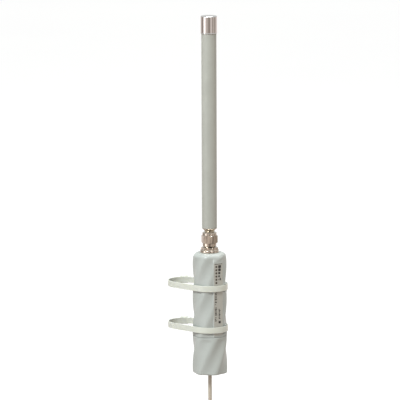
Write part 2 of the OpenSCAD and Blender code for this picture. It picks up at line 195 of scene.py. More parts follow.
def joined(*parts):
    """Several lists of points and faces as one."""
    points, faces = [], []
    for p, f in parts:
        start = len(points)
        points += list(p)
        faces += [tuple(start + i for i in face) for face in f]
    return points, faces


def turn_angles(count):
    """Angles in degrees, evenly spaced round one turn."""
    return [360 * i / count for i in range(count)]


def lathe(outline, count=128, closed=True, radius=None):
    """A surface of revolution round the housing's axis from (r, z) pairs.

    radius(angle, r, z), where it is given, shapes the round rings.
    """
    shape = radius or (lambda angle, r, z: r)
    angles = turn_angles(count)
    rings = [[polar(shape(angle, r, z), angle, z) for angle in angles] for r, z in outline]
    return loft(rings, closed)


def rounded(outline, fillet, steps=4):
    """A closed outline of (r, z) pairs with each corner rounded."""
    result = []
    n = len(outline)
    for i in range(n):
        before, here, after = (Vector(outline[(i + d) % n]) for d in (-1, 0, 1))
        back, ahead = before - here, after - here
        cut = min(fillet, back.length * 0.45, ahead.length * 0.45)
        turn = back.normalized().dot(ahead.normalized()) if back.length and ahead.length else -1
        if cut < 0.01 or turn < -0.995:
            result.append(tuple(here))
            continue
        a, b = here + back.normalized() * cut, here + ahead.normalized() * cut
        for s in range(steps + 1):
            t = s / steps
            result.append(tuple(a * (1 - t) ** 2 + here * 2 * t * (1 - t) + b * t ** 2))
    return result


def dense(outline, step):
    """A closed outline with extra points on its long straight parts."""
    result = []
    n = len(outline)
    for i in range(n):
        a, b = Vector(outline[i]), Vector(outline[(i + 1) % n])
        pieces = max(1, math.ceil((b - a).length / step))
        result += [tuple(a.lerp(b, s / pieces)) for s in range(pieces)]
    return result


def hexagon(angle, apothem, turn=0.0):
    """Radius at an angle of a hexagon with slightly crowned flats, one of which faces turn, in degrees."""
    off = (angle - turn + 30) % 60 - 30
    return (apothem + HEX_CROWN * (1 - (off / 30) ** 2)) / math.cos(math.radians(off))


def box_points(low, high):
    """Points and faces of a block."""
    x0, y0, z0 = low
    x1, y1, z1 = high
    points = [(x, y, z) for z in (z0, z1) for y in (y0, y1) for x in (x0, x1)]
    faces = [(0, 1, 3, 2), (4, 6, 7, 5), (0, 4, 5, 1), (2, 3, 7, 6), (0, 2, 6, 4), (1, 5, 7, 3)]
    return points, faces


def placed(part, matrix):
    points, faces = part
    return [matrix @ Vector(p) for p in points], faces


# ---------- materials ----------

def new_material(name):
    material = bpy.data.materials.new(name)
    material.use_nodes = True
    tree = material.node_tree
    shader = next(n for n in tree.nodes if n.type == "BSDF_PRINCIPLED")
    return material, tree, shader


def object_coordinates(tree, scale=(1, 1, 1)):
    place = tree.nodes.new("ShaderNodeTexCoord")
    mapping = tree.nodes.new("ShaderNodeMapping")
    mapping.inputs["Scale"].default_value = scale
    tree.links.new(place.outputs["Object"], mapping.inputs["Vector"])
    return mapping.outputs["Vector"]


def noise(tree, vector, scale, detail=3.0, roughness=0.55):
    node = tree.nodes.new("ShaderNodeTexNoise")
    node.inputs["Scale"].default_value = scale
    node.inputs["Detail"].default_value = detail
    node.inputs["Roughness"].default_value = roughness
    tree.links.new(vector, node.inputs["Vector"])
    return node.outputs["Fac"]


def ramp(tree, value, stops):
    node = tree.nodes.new("ShaderNodeValToRGB")
    elements = node.color_ramp.elements
    while len(elements) < len(stops):
        elements.new(0.5)
    for element, (position, colour) in zip(elements, stops):
        element.position = position
        element.color = (*colour, 1)
    tree.links.new(value, node.inputs["Fac"])
    return node.outputs["Color"]


def spread(tree, value, low, high):
    """A value from 0 to 1 spread between two limits."""
    node = tree.nodes.new("ShaderNodeMapRange")
    node.inputs["From Min"].default_value = 0.3
    node.inputs["From Max"].default_value = 0.7
    node.inputs["To Min"].default_value = low
    node.inputs["To Max"].default_value = high
    tree.links.new(value, node.inputs["Value"])
    return node.outputs["Result"]


def bump(tree, shader, height, strength, distance):
    node = tree.nodes.new("ShaderNodeBump")
    node.inputs["Strength"].default_value = strength
    node.inputs["Distance"].default_value = distance
    tree.links.new(height, node.inputs["Height"])
    tree.links.new(node.outputs["Normal"], shader.inputs["Normal"])


def plastic(name, colour, vary=0.03, rough=(0.38, 0.5), grain=900.0, depth=0.03, broad=25.0, specular=0.5):
    """Moulded plastic: a fine grain over slow changes of tone."""
    material, tree, shader = new_material(name)
    vector = object_coordinates(tree)
    slow = noise(tree, vector, broad, 4)
    fine = noise(tree, vector, grain, 2)
    dark = tuple(c * (1 - vary) for c in colour)
    light = tuple(min(1, c * (1 + vary)) for c in colour)
    tree.links.new(ramp(tree, slow, [(0.3, dark), (0.7, light)]), shader.inputs["Base Color"])
    tree.links.new(spread(tree, slow, *rough), shader.inputs["Roughness"])
    shader.inputs["Specular IOR Level"].default_value = specular
    bump(tree, shader, fine, 0.25, depth * MM)
    return material


def metal(name, colour, rough=(0.12, 0.25), brushed=(1, 1, 1), grain=400.0, depth=0.01, vary=0.06,
          tone=(1, 1, 1), patch=90.0):
    """Turned or plated metal: fine tool marks, and changes of tone in random patches or, stretched, in
    streaks of painted reflection.
    """
    material, tree, shader = new_material(name)
    marks = noise(tree, object_coordinates(tree, brushed), grain, 3)
    slow = noise(tree, object_coordinates(tree, tone), patch, 4)
    dark = tuple(c * (1 - vary) for c in colour)
    tree.links.new(ramp(tree, slow, [(0.36, dark), (0.64, colour)]), shader.inputs["Base Color"])
    tree.links.new(spread(tree, marks, *rough), shader.inputs["Roughness"])
    shader.inputs["Metallic"].default_value = 1.0
    bump(tree, shader, marks, 0.2, depth * MM)
    return material


def clear(name, colour, rough=0.06, transmission=0.85):
    """Clear moulded plastic with faint flow marks."""
    material, tree, shader = new_material(name)
    flow = noise(tree, object_coordinates(tree, (1, 1, 0.2)), 160, 3)
    light = tuple(min(1, c * 1.03) for c in colour)
    tree.links.new(ramp(tree, flow, [(0.35, colour), (0.65, light)]), shader.inputs["Base Color"])
    tree.links.new(spread(tree, flow, rough, rough + 0.06), shader.inputs["Roughness"])
    shader.inputs["Transmission Weight"].default_value = transmission
    shader.inputs["IOR"].default_value = 1.5
    bump(tree, shader, flow, 0.1, 0.02 * MM)
    return material


def woven(name, colour):
    """Hook-and-loop strap: a coarse weave with a fuzzy face."""
    material, tree, shader = new_material(name)
    vector = object_coordinates(tree)
    weave = tree.nodes.new("ShaderNodeTexVoronoi")
    weave.inputs["Scale"].default_value = 1500
    tree.links.new(vector, weave.inputs["Vector"])
    fuzz = noise(tree, vector, 2500, 4, 0.7)
    light = tuple(c * 1.9 for c in colour)
    tone = ramp(tree, weave.outputs["Distance"], [(0.1, light), (0.7, colour)])
    tree.links.new(tone, shader.inputs["Base Color"])
    tree.links.new(spread(tree, fuzz, 0.75, 0.95), shader.inputs["Roughness"])
    shader.inputs["Sheen Weight"].default_value = 0.4
    bump(tree, shader, weave.outputs["Distance"], 0.6, 0.15 * MM)
    return material


HOUSING = plastic("housing_plastic", (0.343, 0.368, 0.352), 0.03, (0.36, 0.48), 1400, 0.03, 22)
NYLON = plastic("nylon", (0.51, 0.53, 0.48), 0.02, (0.3, 0.42), 600, 0.02, 60)
nylon_shader = NYLON.node_tree.nodes["Principled BSDF"]
nylon_shader.inputs["Subsurface Weight"].default_value = 0.25
nylon_shader.inputs["Subsurface Radius"].default_value = (0.002, 0.002, 0.0015)
RUBBER = plastic("seal_rubber", (0.02, 0.02, 0.02), 0.2, (0.6, 0.75), 900, 0.04, 60, 0.3)
RED_RUBBER = plastic("gasket_red", (0.42, 0.06, 0.035), 0.1, (0.55, 0.7), 900, 0.03, 60, 0.3)
LABEL_FILM = plastic("label_film", (0.338, 0.336, 0.305), 0.02, (0.3, 0.4), 2200, 0.008, 45)
# Print ink; the same dark also paints the shade bar across the label's top.
INK_AND_PAINTED_SHADE = plastic("label_ink_and_painted_shade", (0.022, 0.020, 0.018), 0.15, (0.4, 0.55), 2600, 0.004, 500)
PALE_INK = plastic("pale_ink", (0.13, 0.12, 0.105), 0.12, (0.4, 0.55), 2600, 0.004, 500)
SMOKED = plastic("smoked_lens", (0.075, 0.065, 0.055), 0.15, (0.08, 0.16), 800, 0.003, 500)
# The nickel's strong streaks, stretched along the height, are painted dark reflections of the surroundings.
NICKEL_WITH_PAINTED_REFLECTIONS = metal("nickel", (0.82, 0.75, 0.65), (0.08, 0.18), (1, 1, 6), 500, 0.006, 0.5, (1, 1, 0.16), 260)
CHROME = metal("chrome_cap", (0.70, 0.69, 0.68), (0.05, 0.14), (1, 1, 9), 300, 0.003, 0.04)
STEEL = metal("tinned_steel", (0.62, 0.62, 0.60), (0.22, 0.36), (6, 1, 1), 500, 0.008)
GOLD = metal("gold_brass", (0.80, 0.58, 0.24), (0.14, 0.26), (1, 1, 5), 500, 0.005)
COPPER = metal("copper", (0.76, 0.40, 0.22), (0.18, 0.32), (1, 1, 8), 500, 0.006)
PTFE = plastic("ptfe", (0.82, 0.82, 0.78), 0.02, (0.45, 0.6), 500, 0.02, 60)
FOAM = plastic("foam", (0.86, 0.86, 0.83), 0.05, (0.85, 0.95), 1100, 0.35, 120, 0.2)
JACK = plastic("jack_plastic", (0.035, 0.035, 0.038), 0.12, (0.4, 0.55), 900, 0.02, 60)
EPOXY = plastic("black_epoxy", (0.025, 0.025, 0.027), 0.12, (0.45, 0.6), 1500, 0.02, 200)
BUTTON = plastic("button_red", (0.42, 0.035, 0.02), 0.08, (0.3, 0.42), 900, 0.01, 200)
LED = plastic("led_lens", (0.80, 0.76, 0.50), 0.05, (0.15, 0.25), 900, 0.01, 400)
ROD_PAINT = plastic("fibreglass_paint", (0.303, 0.312, 0.284), 0.04, (0.32, 0.44), 700, 0.03, 60)
JACKET = plastic("cable_jacket", (0.40, 0.36, 0.30), 0.06, (0.36, 0.5), 700, 0.04, 40)
CLEAR = clear("clear_plastic", (0.86, 0.90, 0.90))
PLUG = clear("plug_clear", (0.80, 0.84, 0.86), 0.08, 0.75)
STRAP = woven("hook_strap", (0.012, 0.012, 0.014))


def board_material():
    """Green solder mask with copper tracks showing through."""
    material, tree, shader = new_material("circuit_board")
    vector = object_coordinates(tree, (1, 1, 0.35))
    tracks = tree.nodes.new("ShaderNodeTexBrick")
    tracks.inputs["Scale"].default_value = 260
    tracks.inputs["Mortar Size"].default_value = 0.03
    tracks.inputs["Color1"].default_value = (0.012, 0.10, 0.035, 1)
    tracks.inputs["Color2"].default_value = (0.010, 0.085, 0.030, 1)
    tracks.inputs["Mortar"].default_value = (0.03, 0.19, 0.07, 1)
    tree.links.new(vector, tracks.inputs["Vector"])
    tree.links.new(tracks.outputs["Color"], shader.inputs["Base Color"])
    tree.links.new(spread(tree, noise(tree, vector, 400), 0.2, 0.34), shader.inputs["Roughness"])
    bump(tree, shader, tracks.outputs["Fac"], 0.3, 0.03 * MM)
    return material


BOARD = board_material()


# ---------- the camera, placed before the cable ----------

CAMERA_TURN = math.radians(-50.5)
CAMERA_RISE = math.radians(9.3)
CAMERA_DISTANCE = 5.0
VIEW_WIDTH = 0.5028            # width of the frame at the aimed point
SENSOR = 36.0
AIM_HEIGHT = 0.1366            # the aimed point, from the housing's axis
AIM_LEFT = 0.0118
CAMERA_ROLL = math.radians(-0.21)


def make_camera():
    sight = Vector((
        math.sin(CAMERA_TURN) * math.cos(CAMERA_RISE),
        -math.cos(CAMERA_TURN) * math.cos(CAMERA_RISE),
        math.sin(CAMERA_RISE),
    ))
    right = Vector((math.cos(CAMERA_TURN), math.sin(CAMERA_TURN), 0))
    aim = AXIS * MM + Vector((0, 0, AIM_HEIGHT)) - AIM_LEFT * right
    data = bpy.data.cameras.new("camera")
    data.sensor_width = SENSOR
    data.lens = SENSOR * CAMERA_DISTANCE / VIEW_WIDTH
    data.clip_end = 60
    camera = bpy.data.objects.new("camera", data)
    bpy.context.scene.collection.objects.link(camera)
    camera.location = aim + CAMERA_DISTANCE * sight
    turn = (-sight).to_track_quat("-Z", "Y").to_matrix()
    camera.rotation_euler = (turn @ Matrix.Rotation(CAMERA_ROLL, 3, "Z")).to_euler()
    bpy.context.scene.camera = camera


make_camera()


# ---------- the cable ----------

def arc(centre_z, y, start, end, count=16):
    """Half a turn at one end of the hank."""
    return [
        (FOLD_R * math.cos(math.radians(a)), y, centre_z + FOLD_R * math.sin(math.radians(a)))
        for a in (start + (end - start) * i / count for i in range(1, count + 1))
    ]


def straight_run(x, z_from, z_to, y_from, y_to, count=8):
    """A run of the hank that may drift sideways by one layer."""
    points = []
    for i in range(1, count + 1):
        t = i / count
        points.append((x, y_from + (y_to - y_from) * smoothstep(t), z_from + (z_to - z_from) * t))
    return points


def cable_path():
    """The whole cable: down out of the gland, into the hank, round its turns, and out to the far plug."""
    bottom = HANK_TOP - HANK_RUN
    join_z, settle_z = -138.0, -186.0
    path = list(ROUTE)
    # The route's last two points are the start of this bend
    for i in range(3, 11):
        t = i / 10
        path.append((-FOLD_R * smoothstep(t), 0, join_z + (settle_z - join_z) * t))
    path += straight_run(-FOLD_R, settle_z, bottom, 0, 0, 6)
    for turn in range(HANK_TURNS):
        y, next_y = -turn * LAYER_PITCH, -(turn + 1) * LAYER_PITCH
        path += arc(bottom, y, 180, 360)
        path += straight_run(FOLD_R, bottom, HANK_TOP, y, next_y)
        path += arc(HANK_TOP, next_y, 0, 180)
        if turn < HANK_TURNS - 1:
            path += straight_run(-FOLD_R, HANK_TOP, bottom, next_y, next_y)
    last_y = -HANK_TURNS * LAYER_PITCH
    leave_z = -195.0
    path += straight_run(-FOLD_R, HANK_TOP, leave_z, last_y, last_y, 4)
    path += straight_run(-FOLD_R, leave_z, FAR_PLUG.z, last_y, FAR_PLUG.y, 8)
    return [ORIGIN + Vector(p) for p in path]


def tube_along(path, radius, count=20):
    """A round tube through the path's points, with rings that don't spin."""
    rings = []
    side = Vector((0, 1, 0))
    for i, p in enumerate(path):
        ahead = (path[min(i + 1, len(path) - 1)] - path[max(i - 1, 0)]).normalized()
        across = (side - side.dot(ahead) * ahead).normalized()
        side = across
        other = ahead.cross(across)
        rings.append([
            p + radius * (math.cos(TAU * j / count) * across + math.sin(TAU * j / count) * other)
            for j in range(count)
        ])
    return loft(rings, closed=False)


def far_plug_contacts():
    parts = []
    nose = ORIGIN.z + FAR_PLUG.z - BOOT_LENGTH - PLUG_LENGTH
    for i in range(CONTACTS):
        x = AXIS.x + FAR_PLUG.x + (i - (CONTACTS - 1) / 2) * CONTACT_PITCH
        y = AXIS.y + FAR_PLUG.y - 3.0
        parts.append(box_points((x - 0.16, y - 0.8, nose + 0.4), (x + 0.16, y + 1.6, nose + 6.4)))
    return make_piece("far_plug_contacts", *joined(*parts), "radio", slot="gold_brass", material=GOLD)


def far_plug_boot():
    """Ribbed strain relief on the far plug."""
    ribs, rib_pitch, flare, foot_r = 4, 2.2, 0.12, 3.9
    top, bore = ORIGIN.z + FAR_PLUG.z, CABLE_D / 2 + 0.02
    outline = [(bore, top), (bore + 0.4, top)]
    for i in range(ribs):
        z = top - 1.2 - i * rib_pitch
        waist_r, rib_r = 3.05 + flare * i, 3.42 + flare * i
        outline += [(waist_r, z), (rib_r, z - 0.3), (rib_r, z - 1.2), (waist_r, z - 1.5)]
    outline += [
        (foot_r, top - BOOT_LENGTH + 2), (foot_r, top - BOOT_LENGTH), (0.2, top - BOOT_LENGTH),
        (0.2, top - BOOT_LENGTH + 0.5), (bore, top - BOOT_LENGTH + 0.5),
    ]
    points, faces = lathe(rounded(outline, 0.2, 3), 48)
    shift = Vector((FAR_PLUG.x, FAR_PLUG.y, 0))
    return make_piece("far_plug_boot_ribbed", [p + shift for p in points], faces, "radio",
                      node="far_plug_boot", slot="cable_jacket", material=JACKET)


def hank_strap():
    """A flat strap wrapped once round the hank, with its end lapped over itself."""
    low, high = corners("hank_tie")
    wall, lap, corner, steps = 1.3, 0.9, 5.0, 8
    left, right = low.x + 0.05, high.x - 0.05
    front, back = low.y + 0.05, high.y - 0.05
    bottom, top = low.z + 0.3, high.z - 0.3
    rings = []
    for centre_x, centre_y, start in (
            (right - corner, back - corner, 0), (left + corner, back - corner, 90),
            (left + corner, front + corner, 180), (right - corner, front + corner, 270)):
        for i in range(steps + 1):
            a = math.radians(start + 90 * i / steps)
            outward = Vector((math.cos(a), math.sin(a)))
            outer = Vector((centre_x, centre_y)) + outward * (corner - 0.02)
            inner = Vector((centre_x, centre_y)) + outward * (corner - wall)
            rings.append([Vector((*inner, bottom)), Vector((*outer, bottom)),
                          Vector((*outer, top)), Vector((*inner, top))])
    flap = box_points((left + 8, front - 0.05, low.z + 0.8), (left + 24, front + lap, high.z - 0.8))
    return make_piece("hank_strap", *joined(loft(rings), flap), "radio", node="hank_tie",
                      slot="hook_strap", material=STRAP)


def make_cable():
    path = cable_path()
    points, faces = tube_along(path, CABLE_D / 2)
    cable = make_piece("network_cable", points, faces, "radio", node=("cable", "cable_hank"),
                       slot="cable_jacket", material=JACKET)
    strap, boot, contacts = hank_strap(), far_plug_boot(), far_plug_contacts()


make_cable()


# ---------- the housing ----------

def drawn_radius(z):
    """Radius over the lobes, which shrinks a little with height."""
    return BODY_R - DRAFT * (z - COVER_LOW.z)


def lobe_radius(angle, z, fade=1.0):
    """Radius of the twisted lobes; a fade below 1 flattens them."""
    phase = math.radians(LOBES * (angle - LOBE_PHASE - TWIST * (z - COVER_LOW.z)))
    # The second harmonic makes the lobes a little narrower than the grooves
    cut = 0.5 - 0.465 * math.cos(phase) - 0.035 * math.cos(2 * phase)
    return drawn_radius(z) - GROOVE * (fade * cut + (1 - fade) * 0.35)


def pad_share(angle, z):
    """1 on the label pad, 0 off it, with a soft step between."""
    off = abs((angle - PAD_ANGLE + 180) % 360 - 180)
    sideways = smoothstep((PAD_HALF + PAD_FOOT - off) / PAD_STEP)
    return sideways * smoothstep((SHELL_HIGH.z - PAD_TOP_FOOT - z) / PAD_TOP_STEP)


def shell_radius(angle, z, inset=0.0):
    """Lobes that fade towards the top, with the flat pad blended in."""
    fade = 1 - FADE_SHARE * smoothstep((z - SHELL_HIGH.z + FADE_HEIGHT) / FADE_HEIGHT)
    lobes = lobe_radius(angle, z, fade)
    # Past the pad's step the flat has no share, so its distance may stay at the limit
    off = min(abs((angle - PAD_ANGLE + 180) % 360 - 180), PAD_HALF + PAD_STEP)
    flat = PAD_DIST / math.cos(math.radians(off))
    share = pad_share(angle, z)
    return lobes * (1 - share) + flat * share - inset


def cover_radius(angle, z, inset=0.0):
    """The bottom cover has a plain lip above its lobes."""
    lip = smoothstep((z - (COVER_HIGH.z - LIP_HEIGHT)) / LIP_STEP)
    return lobe_radius(angle, z, 1 - 0.35 * lip) + 0.12 * lip - inset


def heights(low, high, step):
    count = max(1, round((high - low) / step))
    return [low + (high - low) * i / count for i in range(count + 1)]


def ring_of(radius, z, count, inset=0.0):
    """A ring at one height that follows radius(angle, z, inset)."""
    return [polar(radius(angle, z, inset), angle, z) for angle in turn_angles(count)]


def round_ring(r, z, count):
    return [polar(r, angle, z) for angle in turn_angles(count)]


def upper_shell():
    """The twisted housing with its open underside and the spigot that the cover fits."""
    count, edge = 360, 0.35
    top = SHELL_HIGH.z
    rings = []
    for inset, lift in ((edge, 0), (edge * 0.3, edge * 0.3), (0, edge)):
        rings.append(ring_of(shell_radius, SEAM_Z + lift, count, inset))
    for z in heights(SEAM_Z + edge, top - SHOULDER_R, 1.0)[1:]:
        rings.append(ring_of(shell_radius, z, count))
    for i in range(1, SHOULDER_STEPS + 1):
        t = math.radians(90 * i / SHOULDER_STEPS)
        z, inset = top - SHOULDER_R + SHOULDER_R * math.sin(t), SHOULDER_R * (1 - math.cos(t))
        rings.append(ring_of(shell_radius, z, count, inset))
    inside = [
        (12.0, top), (8.4, top), (8.2, top - 0.3), (8.2, top - 3), (13, top - 3), (SHELL_BORE_R, top - 11),
        (SHELL_BORE_R, SEAM_Z + 6.5), (SPIGOT_BORE_R, SEAM_Z + 4), (SPIGOT_BORE_R, SEAM_Z - 9.6),
        (SPIGOT_BORE_R + 0.4, SEAM_Z - 10), (SPIGOT_R - 0.4, SEAM_Z - 10), (SPIGOT_R, SEAM_Z - 9.6),
        (SPIGOT_R, SEAM_Z - 6.2), (17.1, SEAM_Z - 6.2), (17.1, SEAM_Z - 4.6), (SPIGOT_R, SEAM_Z - 4.6),
        (SPIGOT_R, SEAM_Z),
    ]
    rings += [round_ring(r, z, count) for r, z in inside]
    make_piece("upper_shell_skin", *loft(rings), "radio", sharp=38, node="upper_shell",
               slot="housing_plastic", material=HOUSING)


def bottom_cover():
    count, edge = 360, 1.6
    low, high = COVER_LOW.z, COVER_HIGH.z
    rings = []
    for i in range(5):
        t = math.radians(90 * i / 4)
        inset, z = edge * (1 - math.sin(t)), low + edge * (1 - math.cos(t))
        rings.append(ring_of(cover_radius, z, count, inset))
    for z in heights(low + edge, high - 0.5, 0.9)[1:]:
        rings.append(ring_of(cover_radius, z, count))
    for inset, z in ((0.12, high - 0.15), (0.5, high)):
        rings.append(ring_of(cover_radius, z, count, inset))
    inside = [
        (COVER_BORE_R + 0.2, high), (COVER_BORE_R, high - 0.2), (COVER_BORE_R, low + 3.2),
        (COVER_BORE_R - 0.7, low + 2.5), (5.0, low + 2.5), (5.0, low + 0.3), (5.3, low), (12, low),
    ]
    rings += [round_ring(r, z, count) for r, z in inside]
    make_piece("bottom_cover_skin", *loft(rings), "cover", sharp=38, node="bottom_cover",
               slot="housing_plastic", material=HOUSING)


upper_shell()
bottom_cover()


# ---------- tie guides, moulded on the upper shell ----------

TIE_W = 7.6
TIE_T = 1.3
TIE_Z = 26.5
MAST_R = 19.5
GUIDE_START = 276.0
GUIDE_SWEEP = 18.0
GUIDE_IN_R = 20.0
GUIDE_OUT_R = 22.7
GUIDE_GAP = 1.1            # from a tie's edge to the middle of a guide
GUIDE_HALF = 0.7


def soft_edges(obj, width, segments=2, angle=40.0):
    """Rounds the sharp edges of a small moulded part."""
    bevel = obj.modifiers.new("edges", "BEVEL")
    bevel.width = width * MM
    bevel.segments = segments
    bevel.limit_method = "ANGLE"
    bevel.angle_limit = math.radians(angle)


def arc_block(r_in, r_out, start, sweep, z_low, z_high, edge=0.35, count=18):
    """A block bent round the housing's axis, with rounded long edges and tapered ends."""
    section = rounded([(r_in, z_low), (r_out, z_low), (r_out, z_high), (r_in, z_high)], edge, 3)
    rings = []
    for i in range(count + 1):
        t = i / count
        end = smoothstep(min(t, 1 - t) * 9)
        angle = start + sweep * t
        rings.append([polar(r_in + (r - r_in) * (0.55 + 0.45 * end), angle, z) for r, z in section])
    return loft(rings, closed=False)


def tie_guides():
    parts = []
    for tie in (-TIE_Z, TIE_Z):
        for side in (-1, 1):
            z = tie + side * (TIE_W / 2 + GUIDE_GAP)
            parts.append(arc_block(GUIDE_IN_R, GUIDE_OUT_R, GUIDE_START, GUIDE_SWEEP,
                                   z - GUIDE_HALF, z + GUIDE_HALF))
    make_piece("tie_guides", *joined(*parts), "radio", slot="housing_plastic", material=HOUSING)


tie_guides()


# ---------- cable ties ----------

def loop_points(step, tie_r):
    """The tie's inner line, once round the mast and the housing, with outward normals."""
    gap = AXIS.length
    lean = math.asin((tie_r - MAST_R) / gap)
    pieces = []

    def arc_part(centre, radius, start, end):
        count = max(2, round(abs(end - start) * radius / step))
        for i in range(count):
            a = start + (end - start) * i / count
            n = Vector((math.cos(a), math.sin(a), 0))
            pieces.append((centre + radius * n, n))

    def straight_part(a, b, n):
        count = max(2, round((b - a).length / step))
        for i in range(count):
            pieces.append((a.lerp(b, i / count), n))

    mast = Vector((0, 0, 0))
    left = Vector((math.cos(math.pi - lean), math.sin(math.pi - lean), 0))
    right = Vector((math.cos(lean), math.sin(lean), 0))
    arc_part(mast, MAST_R, lean, math.pi - lean)
    straight_part(mast + MAST_R * left, AXIS + tie_r * left, left)
    arc_part(AXIS, tie_r, math.pi - lean, TAU + lean)
    straight_part(AXIS + tie_r * right, mast + MAST_R * right, right)
    return pieces


def strap_section(base, normal, z, rung):
    """One section of the strap: rounded edges, and teeth on its inner face."""
    half, edge = TIE_W / 2, 0.3
    depth = 0.32 * rung
    outline = [
        (0.0, -half + edge), (0.0, -half * 0.62), (depth, -half * 0.56), (depth, half * 0.56),
        (0.0, half * 0.62), (0.0, half - edge), (edge * 0.3, half - edge * 0.3), (edge, half),
        (TIE_T - edge, half), (TIE_T - edge * 0.3, half - edge * 0.3), (TIE_T, half - edge),
        (TIE_T, 0.0), (TIE_T, -half + edge), (TIE_T - edge * 0.3, -half + edge * 0.3),
        (TIE_T - edge, -half), (edge, -half), (edge * 0.3, -half + edge * 0.3),
    ]
    return [base + normal * out + Vector((0, 0, z + up)) for out, up in outline]


def cable_tie(name, z):
    step, pitch = 0.45, 1.5
    rings = []
    travelled, before = 0.0, None
    for base, normal in loop_points(step, drawn_radius(z - TIE_W / 2) + 0.07):
        travelled += (base - before).length if before is not None else 0
        before = base
        rung = smoothstep(abs(2 * (travelled / pitch % 1) - 1) * 1.6 - 0.2)
        rings.append(strap_section(base, normal, z, rung))
    make_piece(name + "_strap", *loft(rings), "radio", sharp=50, node=name, slot="nylon",
               material=NYLON)
    tie_head(name, z)


HEAD_ANGLE = 40.0              # direction of the heads from the mast's axis
HEAD_DEPTH = 7.0
HEAD_WIDTH = 9.5
HEAD_HEIGHT = 9.0


def tie_head(name, z):
    """The tie's head: a block with a slot, its pawl, and the cut tail that comes out of the slot."""
    turn = Matrix.Rotation(math.radians(HEAD_ANGLE), 4, "Z") @ Matrix.Translation((0, 0, z))
    slot_low = MAST_R + TIE_T + 0.4
    slot_high = slot_low + TIE_T + 0.3
    half_slot = TIE_W / 2 + 0.2
    low = Vector((MAST_R + TIE_T * 0.9, -HEAD_WIDTH / 2, -HEAD_HEIGHT / 2))
    high = Vector((MAST_R + HEAD_DEPTH, HEAD_WIDTH / 2, HEAD_HEIGHT / 2))
    floor_part = box_points(low, (slot_low, high.y, high.z))
    roof_part = box_points((slot_high, low.y, low.z), high)
    walls = [
        box_points((slot_low - 0.3, low.y, wall_low), (slot_high + 0.3, high.y, wall_high))
        for wall_low, wall_high in ((low.z, -half_slot), (half_slot, high.z))
    ]
    pawl = box_points((slot_high - 0.35, -1.2, -2.6), (slot_high + 0.4, 1.4, 2.6))
    parts = [placed(p, turn) for p in (floor_part, roof_part, *walls, pawl)]
    head = make_piece(name + "_head", *joined(*parts), "radio", slot="nylon", material=NYLON)
    soft_edges(head, 0.45, 3)
    half_tail, tail_low = TIE_W / 2 - 0.1, slot_low + 0.15
    tail = box_points((tail_low, low.y - 4.5, -half_tail), (tail_low + TIE_T, high.y + 0.6, half_tail))
    stub = make_piece(name + "_tail", *placed(tail, turn), "radio", slot="nylon", material=NYLON)
    soft_edges(stub, 0.25, 2)


cable_tie("tie_upper", TIE_Z)
cable_tie("tie_lower", -TIE_Z)


# ---------- the connector on the housing ----------

def hex_shape(apothem, turn=0.0):
    """Shapes a lathed outline into a hexagon wherever the outline is wider than the flats."""
    return lambda angle, r, z: min(r, hexagon(angle, apothem, turn))


def bulkhead_nut():
    """A round flange with a hexagon on top of it."""
    low, high = FLANGE_LOW.z, FLANGE_HIGH.z
    step = low + 2.9
    flange_r, corner_r, bore = 11.7, 10.9, 8.0
    across = corner_r * math.cos(math.radians(30))
    flange = rounded([
        (bore, low), (flange_r, low), (flange_r, step - 0.35), (flange_r - 0.35, step), (bore, step),
    ], 0.18, 3)
    hexagonal = [
        (bore, step - 0.1), (corner_r, step - 0.1), (corner_r, high - 0.75), (corner_r - 0.5, high - 0.45),
        (corner_r - 1.6, high), (bore + 0.35, high), (bore, high - 0.3),
    ]
    parts = joined(lathe(flange, 192), lathe(dense(hexagonal, 0.7), 240, True, hex_shape(across, 30)))
    make_piece("bulkhead_nut_turned", *parts, "radio", sharp=24, node="bulkhead_nut", slot="nickel",
               material=NICKEL_WITH_PAINTED_REFLECTIONS)


def lock_washer():
    """A washer with a star of teeth round its rim."""
    low, high = corners("lock_washer")
    teeth, notch, bore, rim = 24, 0.55, 8.05, 12.0

    def star(angle, r, z):
        if r < 10:
            return r
        return r - notch * smoothstep(0.5 + 0.9 * math.cos(math.radians(angle * teeth)))

    outline = rounded([(bore, low.z), (rim, low.z), (rim, high.z), (bore, high.z)], 0.12, 2)
    make_piece("lock_washer_toothed", *lathe(outline, 288, True, star), "radio", sharp=40,
               node="lock_washer", slot="nickel", material=NICKEL_WITH_PAINTED_REFLECTIONS)


THREAD_R = 7.94
THREAD_PITCH = 25.4 / 24
THREAD_DEPTH = 0.55


def thread_radius(angle, r, z):
    """The outer thread of the barrel: a helix that fades out at both ends."""
    if r < THREAD_R - 0.1:
        return r
    first, last = SHELL_HIGH.z + 4.4, BARREL_HIGH.z - 0.5
    share = smoothstep((z - first) / 0.7) * smoothstep((last - z) / 0.7)
    turn = ((z - first) / THREAD_PITCH - angle / 360) % 1
    return r - share * THREAD_DEPTH * (1 - abs(2 * turn - 1))


def female_barrel():
    """The threaded barrel, with a flange inside the housing."""
    low, top = BARREL_LOW.z, BARREL_HIGH.z
    flange = SHELL_HIGH.z - 6.5
    bore_r, tail_r, flange_r = 4.3, 5.2, 11
    outline = [
        (bore_r, low), (tail_r, low), (tail_r, flange), (flange_r, flange), (flange_r, flange + 2.9),
        (THREAD_R, flange + 2.9),
    ]
    outline += [(THREAD_R, z) for z in heights(flange + 3.2, top - 0.6, 0.13)]
    outline += [
        (THREAD_R - 0.45, top - 0.15), (THREAD_R - 0.7, top), (bore_r + 0.2, top), (bore_r, top - 0.2),
    ]
    make_piece("n_female_barrel", *lathe(outline, 120, True, thread_radius), "radio", sharp=60,
               node="n_female_body", slot="nickel", material=NICKEL_WITH_PAINTED_REFLECTIONS)


bulkhead_nut()
lock_washer()
female_barrel()


# ---------- the antenna ----------

HEX_TURN = 24.1            # direction that one flat of the coupling nut faces, in degrees


